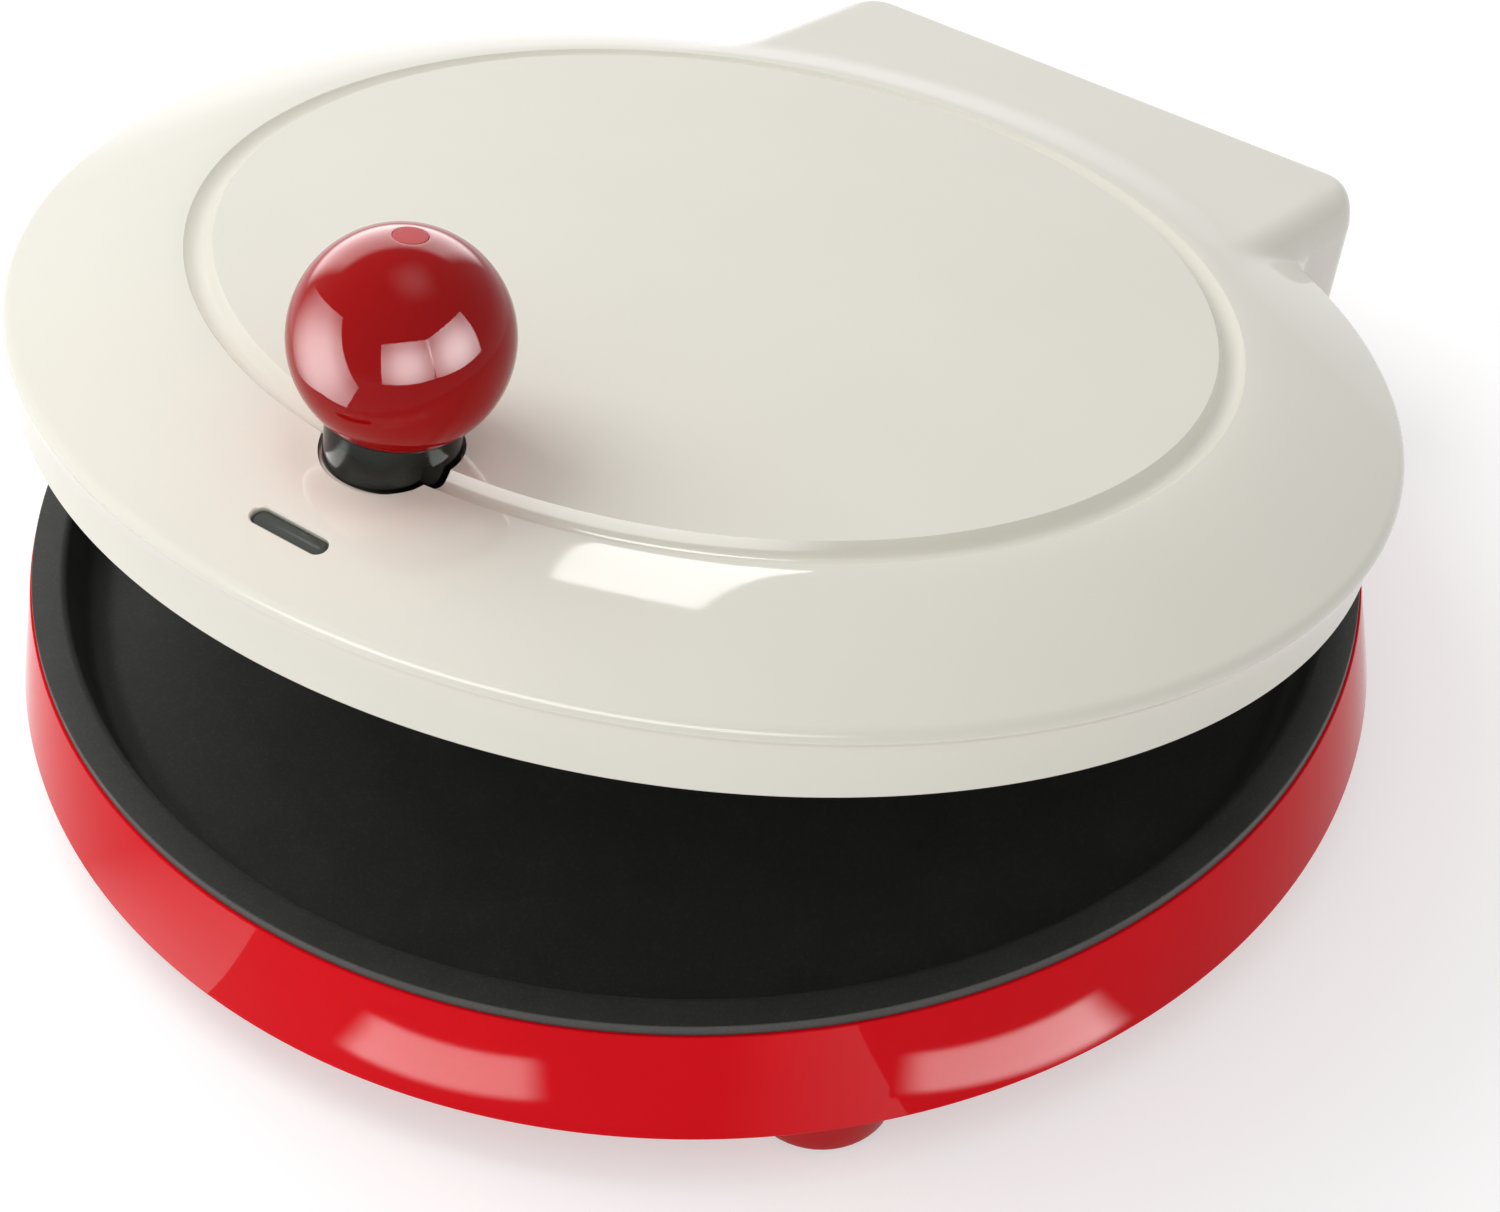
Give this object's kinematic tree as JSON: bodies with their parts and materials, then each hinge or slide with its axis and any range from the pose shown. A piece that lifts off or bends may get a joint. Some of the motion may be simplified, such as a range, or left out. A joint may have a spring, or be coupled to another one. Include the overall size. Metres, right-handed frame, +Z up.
{
  "type": "electric pizza maker",
  "caption": "Round countertop pizza maker with a red base, a black pan and a cream hinged lid with a ball knob and a rear hood.",
  "frame": {"origin": "centre of the footprint on the table, below the pan", "axes": "+Z up, -Y towards the knob at the front, +Y towards the hinge at the back, +X to the right when seen from the front"},
  "size_m": [0.335, 0.3578, 0.1874],
  "materials": {
    "red_shell": "gloss",
    "red_feet": "gloss",
    "pad_rubber": "matte",
    "zinc_steel": "satin",
    "nonstick": "satin",
    "element_steel": "heat dulled",
    "reflector_sheet": "bright",
    "bakelite": "matte",
    "fuse_metal": "satin",
    "terminal_ceramic": "satin",
    "wire_sleeve": "matte",
    "gland_rubber": "matte",
    "washer_brass": "satin",
    "cream_cover": "gloss",
    "inner_plastic": "satin",
    "smoked_lens": "gloss",
    "lamp_glass": "gloss",
    "red_ball": "gloss",
    "red_cap": "gloss",
    "dark_ferrule": "black nickel",
    "heat_washer": "matte"
  },
  "bodies": {
    "base": {"base_shell": "red_shell", "feet": "red_feet", "foot_pads": "pad_rubber", "foot_screws": "zinc_steel", "lower_pan": "nonstick", "pan_screws": "zinc_steel", "lower_heating_element": "element_steel", "lower_element_clips": "zinc_steel", "lower_reflector": "reflector_sheet", "thermostat": "bakelite", "thermal_fuse": "fuse_metal", "base_terminal_block": "terminal_ceramic", "base_wiring": "wire_sleeve", "cord_gland": "gland_rubber", "hinge_pin": "zinc_steel", "friction_washers": "washer_brass", "pin_circlips": "zinc_steel"},
    "lid": {"lid_cover": "cream_cover", "upper_plate": "nonstick", "plate_screws": "zinc_steel", "upper_heating_element": "element_steel", "upper_element_clips": "zinc_steel", "upper_reflector": "reflector_sheet", "lid_wiring": "wire_sleeve", "lid_terminal_block": "terminal_ceramic", "terminal_cover": "inner_plastic", "hinge_plate": "zinc_steel", "hinge_plate_screws": "zinc_steel", "indicator_lens": "smoked_lens", "lamp_holder": "inner_plastic", "neon_lamp": "lamp_glass", "knob_ball": "red_ball", "knob_cap": "red_cap", "knob_ferrule": "dark_ferrule", "knob_screw": "zinc_steel", "knob_washer": "heat_washer"}
  },
  "joints": [
    {"name": "lid_hinge", "type": "hinge", "parent": "base", "child": "lid", "pos_m": [0, 0.16256, 0.0489], "axis": [-1, 0, 0], "range_deg": [-12, 83]}
  ]
}
